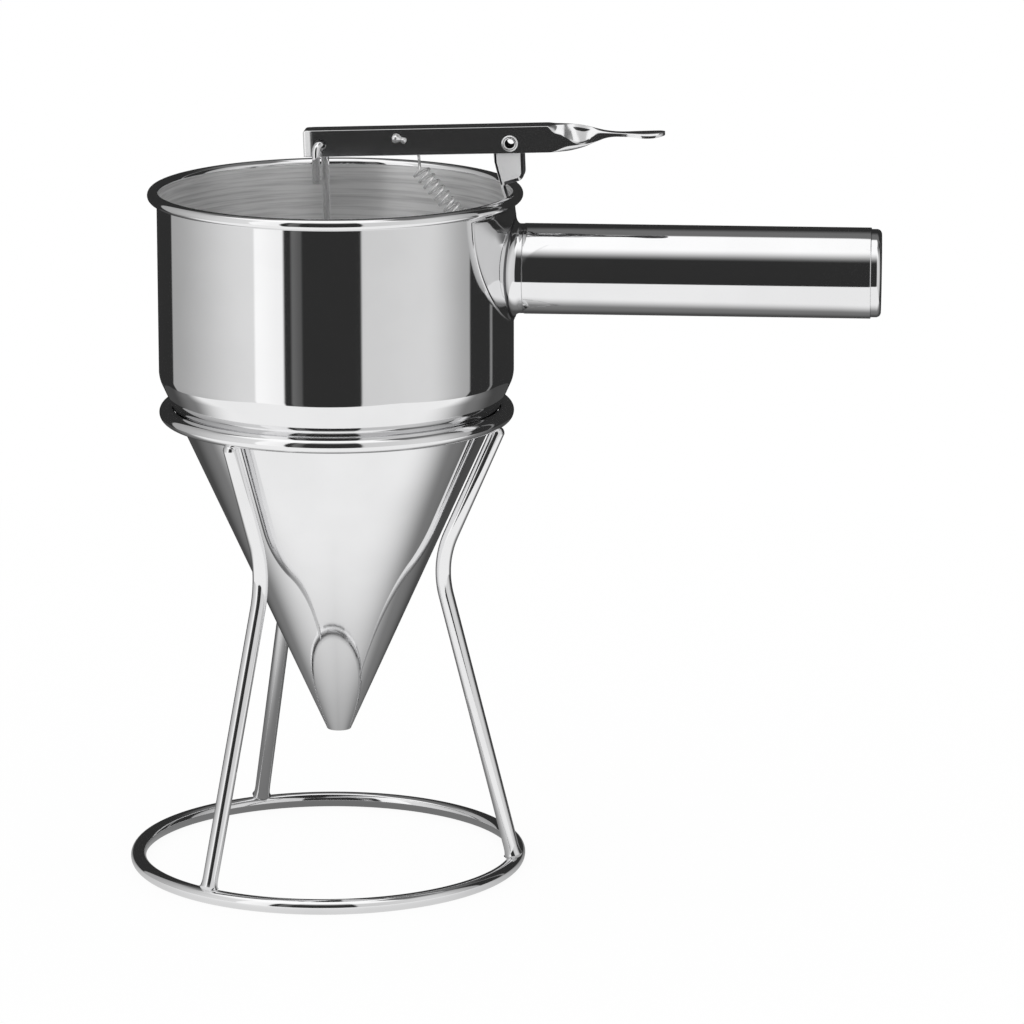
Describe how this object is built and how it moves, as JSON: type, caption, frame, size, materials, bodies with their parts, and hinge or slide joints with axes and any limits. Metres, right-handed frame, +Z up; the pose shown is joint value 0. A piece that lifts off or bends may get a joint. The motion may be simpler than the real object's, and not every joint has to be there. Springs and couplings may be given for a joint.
{
  "type": "batter dispenser",
  "caption": "Steel batter dispenser: a funnel with a side handle and a sprung thumb lever that lifts a stopper rod, standing in a wire stand.",
  "frame": {"origin": "on the funnel's axis, on the surface that the stand's base ring rests on", "axes": "+X along the handle, +Y away from the front, +Z up"},
  "size_m": [0.2682, 0.1426, 0.2699],
  "materials": {
    "polished_sheet": "mirror-polished stainless steel sheet, satin brushed inside the bowl",
    "polished_tube": "mirror-polished stainless steel tube",
    "polished_wire": "polished stainless steel wire",
    "lever_sheet": "polished stainless steel sheet, pressed",
    "bracket_sheet": "tumbled stainless steel sheet",
    "rivet_steel": "turned stainless steel",
    "spring_wire": "bright spring steel wire"
  },
  "bodies": {
    "stand": {"stand_base_ring": "polished_wire", "stand_top_ring": "polished_wire", "stand_leg_left": "polished_wire", "stand_leg_right": "polished_wire", "stand_leg_back": "polished_wire"},
    "funnel": {"funnel_bowl": "polished_sheet", "funnel_cone": "polished_sheet", "handle_saddle": "polished_sheet", "handle_tube": "polished_tube", "handle_cap": "polished_tube", "pivot_bracket": "bracket_sheet", "pivot_rivet": "rivet_steel", "return_spring": "spring_wire"},
    "lever": {"lever": "lever_sheet", "spring_pin": "rivet_steel"},
    "rod": {"plunger_rod": "polished_wire", "plunger_plug": "rivet_steel"}
  },
  "joints": [
    {"name": "funnel_lift", "type": "slide", "parent": "stand", "child": "funnel", "axis": [0, 0, 1], "range_m": [0, 0.13]},
    {"name": "lever_press", "type": "hinge", "parent": "funnel", "child": "lever", "pos_m": [0.062, 0, 0.26343], "axis": [0, 1, 0], "range_deg": [0, 16], "stiffness_Nm_per_rad": 0.5, "springref_deg": -11.46, "deforming": ["return_spring"]},
    {"name": "rod_swing", "type": "hinge", "parent": "lever", "child": "rod", "pos_m": [-0.00479, 0, 0.26207], "axis": [0, 1, 0], "range_deg": [-16, 0]}
  ],
  "couplings": [
    {"joint": "rod_swing", "follows": "lever_press", "ratio": -1}
  ]
}
